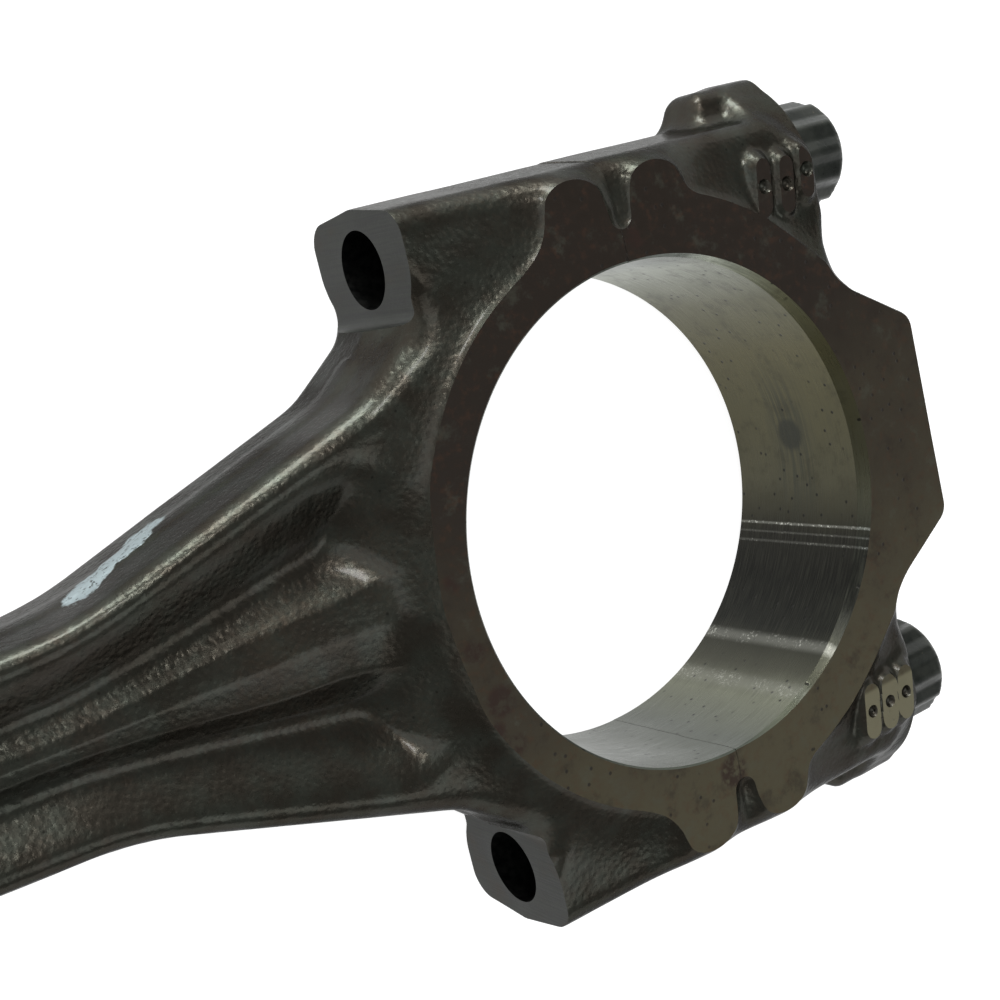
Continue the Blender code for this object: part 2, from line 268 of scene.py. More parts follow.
def dress(piece, body, slotName, *nodes):
    # smooth skins with crisp edges, wherever a cut meets another surface
    mesh = piece.data
    mesh.shade_smooth()
    mesh.set_sharp_from_angle(angle=creaseAngle)
    sharp = mesh.attributes["sharp_edge"].data
    finishOf = {}
    for face in mesh.polygons:
        for edge in face.edge_keys:
            finishOf.setdefault(edge, set()).add(face.material_index)
    for edge in mesh.edges:
        if len(finishOf[edge.key]) > 1:
            sharp[edge.index].value = True
    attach(piece, body)
    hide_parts(*nodes)
    print(f"{piece.name}: {len(piece.data.vertices)} vertices, {len(piece.data.polygons)} faces")


def prism(name, outline, low, high, finish):
    # an outline in the plan view, raised from one height to another
    count = len(outline)
    points = [(x, y, low) for x, y in outline] + [(x, y, high) for x, y in outline]
    faces = [[k, (k + 1) % count, (k + 1) % count + count, k + count] for k in range(count)]
    faces += [list(range(count))[::-1], list(range(count, 2 * count))]
    return meshPiece(name, points, faces, finish)


def tube(name, rings, finish, axis="X", centre=(0, 0, 0), closed=False):
    # a skin over rings of radii: rings holds (position along the axis, one radius for each spoke)
    spokes = len(rings[0][1])
    turn = np.arange(spokes) * 2 * math.pi / spokes
    points = []
    for along, radii in rings:
        first, second = radii * np.cos(turn), radii * np.sin(turn)
        flat = np.full(spokes, along)
        columns = (flat, first, second) if axis == "X" else (first, second, flat)
        points.append(np.stack(columns, axis=1))
    points = np.concatenate(points) + np.array(centre)
    faces = []
    count = len(rings)
    for row in range(count if closed else count - 1):
        here, there = row * spokes, (row + 1) % count * spokes
        for k in range(spokes):
            n = (k + 1) % spokes
            faces.append([here + k, here + n, there + n, there + k])
    if not closed:
        faces.append(list(range(spokes))[::-1])
        faces.append([spokes * (count - 1) + k for k in range(spokes)])
    return meshPiece(name, points, faces, finish)


def turned(name, profile, spokes, finish, axis="X", centre=(0, 0, 0), closed=False):
    # a turned shape: profile holds (position along the axis, radius)
    return tube(name, [(a, np.full(spokes, r)) for a, r in profile], finish, axis, centre, closed)


# Finishes

class Wire:
    # an output of a node, which can be used in sums
    def __init__(self, finish, socket):
        self.finish = finish
        self.socket = socket

    def __add__(self, other):
        return self.finish.maths("ADD", self, other)

    def __sub__(self, other):
        return self.finish.maths("SUBTRACT", self, other)

    def __rsub__(self, other):
        return self.finish.maths("SUBTRACT", other, self)

    def __mul__(self, other):
        return self.finish.maths("MULTIPLY", self, other)

    def __truediv__(self, other):
        return self.finish.maths("DIVIDE", self, other)

    __radd__ = __add__
    __rmul__ = __mul__


class Finish:
    # a material and the nodes in it; place, x, y and z are in millimetres from the crank bore's middle
    def __init__(self, name):
        self.material = bpy.data.materials.new(name)
        self.material.use_nodes = True
        self.material.node_tree.nodes.clear()
        own = self.node("TexCoord", {}, {}, "Object")
        shift = self.node("VectorMath", {"operation": "SUBTRACT"}, {0: own, 1: boreCentre})
        self.place = self.node("VectorMath", {"operation": "SCALE"}, {0: shift, "Scale": 1 / mm})
        self.x, self.y, self.z = [self.node("SeparateXYZ", {}, {0: self.place}, k) for k in range(3)]

    def node(self, kind, settings, values, output=0):
        # settings are set first, then each input is linked or given its value
        made = self.material.node_tree.nodes.new("ShaderNode" + kind)
        for key, value in settings.items():
            if key == "stops":
                self.setStops(made.color_ramp, value)
            else:
                setattr(made, key, value)
        for key, value in values.items():
            if isinstance(value, Wire):
                self.material.node_tree.links.new(value.socket, made.inputs[key])
            else:
                made.inputs[key].default_value = value
        return Wire(self, made.outputs[output]) if made.outputs else None

    def setStops(self, band, stops):
        band.elements[0].position, band.elements[0].color = stops[0]
        band.elements[-1].position, band.elements[-1].color = stops[-1]
        for position, colour in stops[1:-1]:
            band.elements.new(position).color = colour

    def maths(self, operation, *terms):
        return self.node("Math", {"operation": operation}, dict(enumerate(terms)))

    def noise(self, scale, detail=3.0, rough=0.55, place=None):
        return self.node("TexNoise", {}, {"Vector": place or self.place, "Scale": scale, "Detail": detail,
                                          "Roughness": rough})

    def cells(self, scale, feature="F1", place=None, output="Distance", space="3D"):
        return self.node("TexVoronoi", {"voronoi_dimensions": space, "feature": feature},
                         {"Vector": place or self.place, "Scale": scale}, output)

    def step(self, value, low, high, toLow=0.0, toHigh=1.0):
        # a smooth change from toLow to toHigh as the value goes from low to high
        return self.node("MapRange", {"interpolation_type": "SMOOTHSTEP"}, {
            "Value": value, "From Min": low, "From Max": high, "To Min": toLow, "To Max": toHigh})

    def mix(self, amount, first, second):
        return self.node("Mix", {"data_type": "RGBA"}, {0: amount, 6: first, 7: second}, 2)

    def vector(self, x, y, z):
        return self.node("CombineXYZ", {}, {0: x, 1: y, 2: z})

    def near(self, point, radius, edge):
        # 1 within a radius of a point, fading to 0 over the edge width
        gap = self.node("VectorMath", {"operation": "DISTANCE"}, {0: self.place, 1: point}, "Value")
        return self.step(gap, radius + edge, radius)

    def edges(self, low, high):
        # 1 along outer edges, where the skin is rubbed
        return self.step(self.node("NewGeometry", {}, {}, "Pointiness"), low, high)

    def complete(self, colour, rough, height, look, coat=0.0):
        # look gives metal and bump, the bump's depth in millimetres, and may give gloss and the rest
        bump = self.node("Bump", {}, {"Distance": look["bump"] * mm, "Height": height})
        edgeTint = look.get("edgeTint", 1.0)
        shader = self.node("BsdfPrincipled", {}, {
            "Base Color": colour, "Roughness": rough, "Metallic": look["metal"], "Normal": bump,
            "Specular IOR Level": look.get("gloss", 0.5),
            "Specular Tint": (edgeTint, edgeTint, edgeTint, 1.0),
            "Coat Weight": coat, "Coat Roughness": look.get("coatRough", 0.0)})
        self.node("OutputMaterial", {}, {"Surface": shader})
        return self.material


def tint(red, green, blue):
    # a colour as mixed on screen, 0 to 255
    def straight(value):
        value /= 255
        return value / 12.92 if value <= 0.04045 else ((value + 0.055) / 1.055) ** 2.4
    return (straight(red), straight(green), straight(blue), 1.0)


forgedLook = {
    "brown": tint(51, 47, 41),
    "green": tint(55, 56, 50),
    "pale": tint(78, 78, 71),
    "rust": tint(60, 46, 35),
    "pit": tint(18, 15, 12),
    "dot": tint(150, 146, 122),
    "dotPlace": (28.0, 53.0, 17.3),       # a small dab of marking dye
    "paint": tint(160, 171, 174),
    "paintRough": 0.42,
    "roughLow": 0.24,
    "roughHigh": 0.39,
    "metal": 0.8,
    "edgeTint": 0.3,
    "oil": 0.15,
    "coatRough": 0.12,
    "peelScale": 1.0,        # cells of the shot-blasted skin for each millimetre
    "bump": 0.085,
}


def forgedSkin(name, painted=False, marked=False):
    look = forgedLook
    f = Finish(name)
    broad = f.noise(0.032, 4, 0.6)
    patch = f.noise(0.13, 5, 0.62)
    grit = f.noise(1.1, 5, 0.6)
    colour = f.mix(f.step(patch, 0.36, 0.66), look["brown"], look["green"])
    colour = f.mix(f.step(broad * 0.7 + grit * 0.3, 0.52, 0.68) * 0.35, colour, look["rust"])
    worn = f.edges(0.52, 0.58)
    colour = f.mix(worn * 0.2, colour, look["pale"])
    pits = f.cells(0.42)
    dark = f.step(pits, 0.16, 0.05) * f.step(patch, 0.45, 0.6)
    colour = f.mix(dark * 0.6, colour, look["pit"])
    rough = f.step(grit * 0.45 + broad * 0.55, 0.35, 0.66, look["roughLow"], look["roughHigh"])
    oil = f.step(broad, 0.42, 0.6) * look["oil"]
    height = f.cells(look["peelScale"], "SMOOTH_F1") + f.noise(2.6, 2, 0.5) * 0.35
    if marked:
        dot = f.near(look["dotPlace"], 0.9, 0.5)
        colour = f.mix(dot, colour, look["dot"])
        height = height + dot * 0.6
    if painted:
        dab = paintDab(f)
        colour = f.mix(dab, colour, look["paint"])
        rough = rough * (1 - dab) + dab * look["paintRough"]
        height = height + dab * 1.2
        oil = oil * (1 - dab)
    return f.complete(colour, rough, height, look, oil)


dabLook = {
    "x": -100.0,
    "slant": 0.35,
    "length": 8.0,           # half the straight part of the stroke
    "brush": 3.0,            # half the width of the stroke
    "softness": 0.5,
    "wobble": 7.0,
    "ragged": 2.4,
    "flangeFrom": 12.0,      # the dab is on the outer side of the flange, from here out
    "flangeTo": 14.0,
}


def paintDab(f):
    # 1 on one stroke of a brush, with an uneven edge and dry gaps
    look = dabLook
    wobble = (f.noise(0.22, 3, 0.6) - 0.5) * look["wobble"]
    ragged = (f.noise(0.9, 3, 0.6) - 0.5) * look["ragged"]
    along = f.x - look["x"]
    across = f.z + along * look["slant"] + wobble
    past = f.maths("MAXIMUM", f.maths("ABSOLUTE", along) - look["length"], 0.0)
    reach = f.maths("SQRT", across * across + past * past)
    dab = f.step(reach + ragged, look["brush"] + look["softness"], look["brush"] - look["softness"])
    dry = f.step(f.noise(1.3, 3, 0.7), 0.34, 0.46)
    return dab * dry * f.step(f.y, look["flangeFrom"], look["flangeTo"])


thrustLook = {
    # dark, middle and olive are steps of a painted sheen across the ground face, laid over random tone
    "dark": tint(30, 21, 13),
    "middle": tint(47, 40, 28),
    "olive": tint(68, 62, 45),
    "rust": tint(70, 43, 27),
    "grey": tint(66, 68, 58),
    "speck": tint(22, 17, 13),
    "skimmed": tint(112, 107, 86),
    "skimX": 32.0,           # the raised marks beyond this corner are skimmed bright
    "skimY": -50.0,
    "rustSpots": [(-47.8, -19.0, 2.0), (-50.5, -9.0, 1.3), (-50.0, -24.0, 1.0), (-46.5, -27.5, 0.9),
                  (-51.5, 4.0, 0.8), (-1.5, -51.5, 2.4), (2.5, 51.5, 1.2)],       # x, y, radius
    "rustSpot": tint(38, 22, 15),
    "metal": 0.1,
    "gloss": 0.22,
    "bump": 0.05,
}


def thrustFace(name):
    look = thrustLook
    f = Finish(name)
    broad = f.noise(0.045, 3, 0.6)
    fine = f.noise(0.55, 5, 0.62)
    # painted sheen: the face is coloured paler towards -Y and darker towards +Y, as the light falls on it,
    # over random tone
    fall = f.y * -0.0085 + f.x * 0.0015 + broad * 0.35 + 0.38      # paler towards -Y
    low = f.step(fall, 0.28, 0.62)
    high = f.step(fall, 0.62, 1.05)
    colour = f.mix(high, f.mix(low, look["dark"], look["middle"]), look["olive"])
    colour = f.mix(f.step(fine, 0.5, 0.72) * 0.3, colour, look["rust"])
    cloud = f.noise(0.16, 5, 0.7)
    colour = f.mix(f.step(cloud, 0.5, 0.7) * 0.55, colour, look["dark"])
    colour = f.mix(f.step(cloud, 0.46, 0.3) * 0.35, colour, look["grey"])
    specks = f.step(f.cells(0.21, space="2D"), 0.10, 0.04) * f.step(f.noise(0.08, 3), 0.48, 0.56)
    colour = f.mix(specks * 0.8, colour, look["speck"])
    skimX, skimY = look["skimX"], look["skimY"]
    marks = f.step(f.y, skimY + 0.5, skimY - 0.5) * f.step(f.x, skimX - 0.5, skimX + 0.5)
    colour = f.mix(marks * 0.75, colour, look["skimmed"])
    for x, y, radius in look["rustSpots"]:
        ragged = f.near((x, y, halfWidth), radius, 1.6) * f.step(fine, 0.38, 0.56)
        colour = f.mix(ragged * 0.85, colour, look["rustSpot"])
    grind = f.noise(1.6, 2, 0.5, f.vector(f.x * 0.25, f.y * 0.25, f.z))
    rough = f.step(fine * 0.6 + broad * 0.4, 0.3, 0.7, 0.42, 0.62)
    height = grind * 0.5 + fine * 0.5 - specks * 1.2
    return f.complete(colour, rough, height, look)


boreLook = {
    # colour of the bored skin round the bore, by degrees from +X towards +Y: the steel's tone with painted
    # reflections and painted shade of the surroundings
    "steelAndPaintedReflections": [(-180, 84, 87, 78), (-110, 80, 84, 76), (-86, 84, 88, 80), (-70, 112, 114, 98),
              (-61, 66, 66, 55), (-48, 22, 23, 18), (-36, 15, 15, 11), (-24, 28, 27, 22), (-10, 72, 70, 55),
              (26, 84, 80, 56), (44, 92, 91, 70), (57, 118, 121, 106), (66, 150, 154, 142),
              (74, 124, 129, 124), (110, 112, 116, 108), (180, 92, 95, 86)],
    # painted highlights: lines of reflected light along the bore, as degrees, half width in degrees, strength
    "paintedHighlightLines": [(-21.3, 0.5, 0.8), (-23.6, 0.4, 0.3), (-26.0, 0.5, 0.3), (-52.5, 2.4, 0.75),
               (-66.0, 3.5, 0.5)],
    # colour of the painted highlight lines
    "bright": tint(206, 206, 196),
    "honed": tint(64, 64, 55),
    "grey": tint(50, 52, 46),
    "cloud": tint(52, 50, 38),
    "speck": tint(24, 23, 20),
    "stain": tint(46, 47, 41),
    "stainPlace": (47.4, 1.7, 0.0),
    "stainRadius": 2.6,
    "metal": 0.85,
    "bump": 0.03,
}


def boredSteel(name):
    look = boreLook
    f = Finish(name)
    turn = f.maths("ARCTAN2", f.y, f.x) * (180 / math.pi)
    around = f.vector(turn * 0.05, f.z * 1.6, 0.0)
    honing = f.noise(2.2, 4, 0.65, around)
    broad = f.noise(0.07, 4, 0.6)
    wander = turn + broad * 5 - 2.5 + honing * 2 - 1
    # painted reflections and shade: the colour follows the angle round the bore
    stops = [((degrees + 180) / 360, tint(*colour)) for degrees, *colour in look["steelAndPaintedReflections"]]
    colour = f.node("ValToRGB", {"stops": stops}, {0: (wander + 180) / 360})
    colour = f.mix(f.step(honing, 0.42, 0.66) * 0.3, colour, look["honed"])
    streak = f.noise(1.0, 3, 0.6, f.vector(turn * 0.03, f.z * 0.9, 0.0))
    nearStain = f.step(f.maths("ABSOLUTE", turn), 26, 8) * f.step(f.maths("ABSOLUTE", f.z - 0.5), 8.0, 2.0)
    greyed = f.step(streak, 0.38, 0.56) * nearStain * 0.6
    colour = f.mix(greyed, colour, look["grey"])
    cloud = f.step(f.noise(0.2, 5, 0.7), 0.48, 0.68) * f.step(turn, -22, -10) * 0.45
    colour = f.mix(cloud, colour, look["cloud"])
    unrolled = f.vector(turn * (crankRadius * math.pi / 180), f.z, 0.0)
    specks = f.step(f.cells(0.22, place=unrolled, space="2D"), 0.10, 0.04)
    specks = specks * f.step(f.noise(0.09, 2), 0.46, 0.54)
    colour = f.mix(specks * 0.9, colour, look["speck"])
    stain = f.near(look["stainPlace"], look["stainRadius"], 1.6) * 0.85
    colour = f.mix(stain, colour, look["stain"])
    # painted highlights along the bore, broken up by painted glints
    bright = 0.0
    for degrees, halfWidthDegrees, strength in look["paintedHighlightLines"]:
        gap = f.maths("ABSOLUTE", turn + honing * 0.4 - 0.2 - degrees)
        bright = f.step(gap, halfWidthDegrees, halfWidthDegrees * 0.1) * strength + bright
    glint = f.step(f.noise(1.7, 3, 0.7), 0.52, 0.66) * f.step(f.noise(0.16, 3, 0.6), 0.38, 0.60)
    bright = bright * (glint * 0.9 + 0.2)
    colour = f.mix(bright, colour, look["bright"])
    rough = f.step(honing * 0.6 + broad * 0.4, 0.3, 0.7, 0.22, 0.40)
    height = honing * 0.8 - specks + bright * 0.5
    return f.complete(colour, rough, height, look)


milledLook = {
    "dark": tint(22, 23, 20),
    "light": tint(40, 42, 37),
    "warm": tint(48, 42, 34),
    "linesAcross": 2.2,      # cutter marks for each millimetre of X and Y
    "linesAlong": 0.06,
    "metal": 0.15,
    "gloss": 0.2,
    "bump": 0.06,
}


def milledFace(name):
    # cutter marks run along Z
    look = milledLook
    f = Finish(name)
    across, along = look["linesAcross"], look["linesAlong"]
    lines = f.noise(1.0, 3, 0.6, f.vector(f.x * across, f.y * across, f.z * along))
    broad = f.noise(0.09, 4, 0.6)
    colour = f.mix(f.step(lines, 0.35, 0.65), look["dark"], look["light"])
    colour = f.mix(f.step(broad, 0.5, 0.68) * 0.6, colour, look["warm"])
    rough = f.step(lines * 0.5 + broad * 0.5, 0.35, 0.65, 0.38, 0.52)
    height = lines + f.noise(1.4, 3) * 0.3
    return f.complete(colour, rough, height, look)


# painted shade: the steel inside the tapped holes and the oil gallery is coloured near black, for the shade
# deep inside them
threadLook = {
    "dark": tint(16, 17, 17),
    "light": tint(34, 34, 32),
    "metal": 0.7,
    "bump": 0.04,
}


def threadSteel(name):
    look = threadLook
    f = Finish(name)
    fine = f.noise(0.8, 4, 0.6)
    colour = f.mix(f.step(fine, 0.35, 0.65), look["dark"], look["light"])
    rough = f.step(fine, 0.3, 0.7, 0.28, 0.45)
    return f.complete(colour, rough, fine, look)


brokenLook = {
    "dark": tint(78, 76, 72),
    "light": tint(132, 130, 124),
    "rust": tint(72, 45, 30),
    "grainScale": 1.6,       # crystals for each millimetre
    "metal": 0.7,
    "bump": 0.16,
}


def brokenSteel(name):
    look = brokenLook
    f = Finish(name)
    grain = f.cells(look["grainScale"], output="Color")
    facet = f.node("SeparateColor", {}, {0: grain}, 0)
    broad = f.noise(0.12, 4, 0.6)
    colour = f.mix(facet, look["dark"], look["light"])
    colour = f.mix(f.step(broad, 0.48, 0.64) * 0.6, colour, look["rust"])
    rough = f.step(facet, 0.0, 1.0, 0.35, 0.6)
    height = facet + f.noise(0.9, 4) * 1.5
    return f.complete(colour, rough, height, look)


boltLook = {
    "dark": tint(30, 33, 29),
    "light": tint(46, 48, 43),
    "worn": tint(96, 98, 90),
    "speck": tint(88, 84, 70),
    "metal": 0.55,
    "bump": 0.05,
}


def boltSteel(name):
    look = boltLook
    f = Finish(name)
    fine = f.noise(0.9, 4, 0.6)
    broad = f.noise(0.14, 4, 0.6)
    colour = f.mix(f.step(broad, 0.36, 0.64), look["dark"], look["light"])
    colour = f.mix(f.edges(0.52, 0.58) * 0.7, colour, look["worn"])
    specks = f.step(f.cells(0.5), 0.14, 0.06) * f.step(broad, 0.48, 0.6)
    colour = f.mix(specks * 0.5, colour, look["speck"])
    rough = f.step(fine * 0.6 + broad * 0.4, 0.3, 0.7, 0.26, 0.46)
    height = fine + f.noise(3.0, 2) * 0.4
    return f.complete(colour, rough, height, look)


bushLook = {
    "dark": tint(150, 118, 66),
    "light": tint(186, 156, 98),
    "tarnish": tint(92, 68, 40),
    "metal": 0.95,
    "bump": 0.03,
}


def bushBronze(name):
    look = bushLook
    f = Finish(name)
    turn = f.maths("ARCTAN2", f.y, f.x - pinX)
    honing = f.noise(2.0, 4, 0.62, f.vector(turn * 2.5, f.z * 1.4, 0.0))
    broad = f.noise(0.12, 4, 0.6)
    colour = f.mix(f.step(broad * 0.5 + honing * 0.5, 0.36, 0.66), look["dark"], look["light"])
    colour = f.mix(f.step(f.noise(0.3, 5, 0.65), 0.56, 0.72) * 0.6, colour, look["tarnish"])
    rough = f.step(honing, 0.3, 0.7, 0.22, 0.40)
    return f.complete(colour, rough, honing, look)


rodSkin = forgedSkin("forged_skin_rod", painted=True)
capSkin = forgedSkin("forged_skin_cap", marked=True)
thrust = thrustFace("ground_thrust_face")
bored = boredSteel("bored_steel")
milledEnd = milledFace("milled_end")
thread = threadSteel("threaded_steel_painted_shade")
broken = brokenSteel("fracture_steel")
boltFinish = boltSteel("bolt_steel")
bronze = bushBronze("bush_bronze")
print("finishes made")


# The forgings

thrustPad = {
    "rodRing": 55.5,         # radius of the ground ring on the rod's side
    "capRing": 59.3,
    "ringChange": (-2, 8),   # along X, from one radius to the other
    "lobes": [(-9.2, 9.0), (10.0, 4.0)],         # x, and how widely each flares into the ring
    "lobeRoot": 40.0,
    "lobeTip": 65.4,
    "lobeRadius": 6.2,
    "notchX": 0.5,
    "notchHead": 53.4,
    "notchRadius": 2.7,
    "notchBlend": 2.0,
    "endInset": 0.9,
    "endBlend": 3.0,
    "rise": 1.0,             # height gained for each millimetre inside the edge, up to the reach
    "riseReach": 3.5,
    "lip": 0.35,             # small step at the edge of the ground face
    "lipWidth": 0.4,
    "slope": 0.62,           # fall for each millimetre outside the edge
}


def thrustDistance(x, y):
    # plan distance to the edge of the ground thrust face, negative inside
    p = thrustPad
    side = np.abs(y)
    ringRadius = p["rodRing"] + (p["capRing"] - p["rodRing"]) * ramp(x, *p["ringChange"])
    distance = np.hypot(x, y) - ringRadius
    tip = p["lobeTip"] - p["lobeRadius"]
    for lobeX, flare in p["lobes"]:
        lobe = capsule(x, side, (lobeX, p["lobeRoot"]), (lobeX, tip), p["lobeRadius"])
        distance = smoothMin(distance, lobe, flare)
    notchY = p["notchHead"] + p["notchRadius"]
    notch = capsule(x, side, (p["notchX"], notchY), (p["notchX"], outside), p["notchRadius"])
    distance = smoothMax(distance, -notch, p["notchBlend"])
    end = capEnd - p["endInset"]
    pad = mirrored(rounded([(end, 0, 0), (end, 20.9, 4), (53.0, 30.4, 7), (47.5, 36.5, 0), (30, 49, 0)]))
    return smoothMin(distance, outlineDistance(pad, x, y), p["endBlend"])


def thrustHeight(distance):
    # the forged pad rises inside its edge and is ground off flat later
    p = thrustPad
    past = np.maximum(distance, 0)
    within = np.clip(-distance, 0, p["riseReach"])
    return halfWidth + p["rise"] * within - p["lip"] * (1 - np.exp(-past / p["lipWidth"])) - p["slope"] * past


# Pairs are where along X, or from the middle along Y, a size changes: from nothing to the whole change.
rod = {
    "seed": 5,
    "grid": 0.75,            # of the field that the skin is drawn round
    "thick": 16.0,           # from the middle plane
    "bossLift": 1.0,         # how much the boss fronts climb towards the split
    "bossLiftX": (-40, -12),
    "bossLiftY": (40, 52),
    "padBlend": 4.5,
    "draft": 0.035,
    "bossDraft": 0.12,
    "bossDraftX": (-60, -46),
    "bossDraftY": (36, 50),
    "edge": 4.6,             # forged corner radius
    "shankEdgeLess": 0.2,
    "shankX": (-60, -90),
    "smallEdgeLess": 0.6,
    "smallX": (-205, -222),  # where the shank runs into the small end
    "pocketFloor": 8.0,
    "floorBlend": 6.5,
    "pocketWall": 1.05,
    "rimBlend": 5.0,
    "ribCrest": 13.0,
    "ribCrown": 0.25,
    "ribHalf": 1.9,
    "ribSpread": 4.2,
    "ribSpreadX": (-126, -74),
    "ribFlare": 1.5,
    "ribFlareX": (-74, -58),
    "ribRise": 2.6,
    "ribRiseX": (-105, -56),
    "ribSmallRise": 2.5,
    "ribFlank": 1.0,
    "ribBlend": 4.6,
    "smallFace": 36.2,
    "smallFaceRise": 3.0,
    "smallFaceLip": 0.5,
    "smallFaceBlend": 2.0,
    "smallRadius": 37.4,
    "flash": 0.35,           # trimmed flash line along the middle of the shank
    "flashHalf": 3.2,
    "flashEnd": -50.0,
    "flashWall": 3.0,
    "bossEnd": -42.8,
    "neck": 47.2,            # the milled end stops short of the shank here
    "endFillet": 2.5,
    "threadCrest": 6.5,
    "threadRoot": 7.0,
    "threadPitch": 1.75,
    "threadStart": -60.1,
    "threadEnd": 20.1,
    "mouth": 7.1,            # plain counterbore before the thread
    "mouthEnd": -33.7,
    "edgeBreak": 0.35,
    "oilGallery": 3.0,
}


def rodField(axes):
    r = rod
    x, y = np.meshgrid(axes[0], axes[1], indexing="ij")
    z = np.abs(axes[2])[None, None, :]
    side = np.abs(y)

    outline = rounded([(14, bossSide, 0), (-46.8, bossSide, 4.5), (-46.8, 56, 4.5), (-43.4, 51.5, 1),
                       (-43.4, 46.5, 7), (-57, 37, 20), (-113, 18, 60), (-216, 14.4, 30),
                       (pinX + r["smallRadius"] * 0.7071, r["smallRadius"] * 0.7071, 0)])
    outline = mirrored(outline + arc(pinX, 0, r["smallRadius"], 50, 180, 30))
    wall = outlineDistance(outline, x, y)

    plate = r["thick"] + r["bossLift"] * ramp(x, *r["bossLiftX"]) * ramp(side, *r["bossLiftY"])
    pad = thrustHeight(thrustDistance(x, y))
    pin = np.hypot(x - pinX, y) - r["smallFace"]
    past = np.maximum(pin, 0)
    pinPad = halfWidth + np.clip(-pin, 0, r["smallFaceRise"]) - past
    pinPad = pinPad - r["smallFaceLip"] * (1 - np.exp(-past / thrustPad["lipWidth"]))
    height = smoothMax(smoothMax(plate, pad, r["padBlend"]), pinPad, r["smallFaceBlend"])

    pocket = mirrored(rounded([(-59.2, 0, 0), (-57.4, 15, 12), (-59.0, 26.6, 6.5), (-70, 26.0, 9),
                               (-92.8, 19.6, 60), (-118, 13.4, 30), (-216, 9.4, 9), (-222, 0, 0)]))
    rim = outlineDistance(pocket, x, y)
    floor = smoothMax(r["pocketFloor"], r["thick"] + r["pocketWall"] * rim, r["floorBlend"])
    crestHalf = r["ribHalf"] + r["ribSpread"] * ramp(x, *r["ribSpreadX"])
    crestHalf = crestHalf + r["ribFlare"] * ramp(x, *r["ribFlareX"])
    crest = r["ribCrest"] + r["ribRise"] * ramp(x, *r["ribRiseX"]) + r["ribSmallRise"] * ramp(x, *r["smallX"])
    rib = crest - r["ribCrown"] * np.minimum(side, crestHalf)
    rib = rib - r["ribFlank"] * np.maximum(side - crestHalf, 0)
    height = smoothMin(height, smoothMax(floor, rib, r["ribBlend"]), r["rimBlend"])

    edge = r["edge"] - r["shankEdgeLess"] * ramp(x, *r["shankX"]) - r["smallEdgeLess"] * ramp(x, *r["smallX"])
    onBoss = ramp(x, *r["bossDraftX"]) * ramp(side, *r["bossDraftY"])
    draft = r["draft"] + (r["bossDraft"] - r["draft"]) * onBoss
    shell = wall[:, :, None] + draft[:, :, None] * (z - r["thick"])
    field = roundMax(z - height[:, :, None], shell, edge[:, :, None])
    flash = r["flash"] * np.exp(-(z / r["flashHalf"]) ** 6) * (x < r["flashEnd"])[:, :, None]
    return np.where(wall[:, :, None] > -r["flashWall"], field - flash, field)


def span(low, high, step):
    return np.arange(math.floor(low / step) - 2, math.ceil(high / step) + 3) * step


ringsPerTurn = 7               # of a thread


def threadShare(along, turns):
    # height of the thread from 0 to 1: a flat root, two flanks and a flat crest in each pitch
    phase = (along / rod["threadPitch"] - turns) % 1.0
    return np.clip(1.5 - np.abs(phase - 0.5) * 3.4, 0, 1)


def threadedHole(centre):
    r = rod
    turns = np.arange(spokes["thread"]) / spokes["thread"]
    depth = r["threadRoot"] - r["threadCrest"]
    rings = []
    for along in np.arange(r["threadStart"], r["threadEnd"] + 0.01, r["threadPitch"] / ringsPerTurn):
        rings.append((along, r["threadCrest"] + depth * threadShare(along, turns)))
    return tube("tap", rings, thread, "X", centre)


fracture = {
    "gap": 0.12,             # between the broken halves
    "seed": 31,
    "grid": 0.8,
    "broad": 0.30,
    "broadSize": 9.0,
    "fine": 0.16,
    "fineSize": 2.6,
    "halfWide": 80,
    "halfTall": 26,
    "depth": 30,             # of the block that is cut away
}


def fractureBlock(direction, finish):
    # a block whose face is a broken surface; the blocks for +1 and -1 match
    b = fracture
    ys = np.arange(-b["halfWide"], b["halfWide"] + 0.1, b["grid"])
    zs = np.arange(-b["halfTall"], b["halfTall"] + 0.1, b["grid"])
    gridY, gridZ = np.meshgrid(ys, zs, indexing="ij")
    flat = np.stack([np.zeros(gridY.size), gridY.ravel(), gridZ.ravel()], axis=1)
    wave = (b["broad"] * lumps(flat, b["broadSize"], b["seed"])
            + b["fine"] * lumps(flat, b["fineSize"], b["seed"] + 1))
    front = flat + np.stack([wave - direction * b["gap"] / 2, 0 * wave, 0 * wave], axis=1)
    rear = flat + np.array([direction * b["depth"], 0, 0])
    rows, columns = len(ys), len(zs)
    number = np.arange(rows * columns).reshape(rows, columns)
    quads = np.stack([number[:-1, :-1], number[1:, :-1], number[1:, 1:], number[:-1, 1:]], axis=-1)
    quads = quads.reshape(-1, 4)
    faces = quads.tolist() + (quads[:, ::-1] + rows * columns).tolist()
    border = [*number[:, 0], *number[-1, 1:], *number[-2::-1, -1], *number[0, -2:0:-1]]
    for a, b in zip(border, border[1:] + border[:1]):
        faces.append([b, a, a + rows * columns, b + rows * columns])
    if direction > 0:
        faces = [quad[::-1] for quad in faces]
    return meshPiece("break", np.concatenate([front, rear]), faces, finish)


spokes = {
    "crankBore": 288,
    "pinBore": 160,
    "thread": 48,
    "threadMouth": 96,
    "boltHole": 72,
    "oilHole": 40,
}


def boreCutter():
    ends = [(-through, crankRadius), (through, crankRadius)]
    return turned("bore", ends, spokes["crankBore"], bored, "Z")


def chamferCutter(face, radius, shift=0):
    # a 45 degree cone that meets the thrust face at this radius
    reach = 3.0
    ends = [(face * (halfWidth - reach), radius - reach), (face * (halfWidth + reach), radius + reach)]
    return turned("chamfer", sorted(ends), spokes["crankBore"], bored, "Z", (shift, 0, 0))


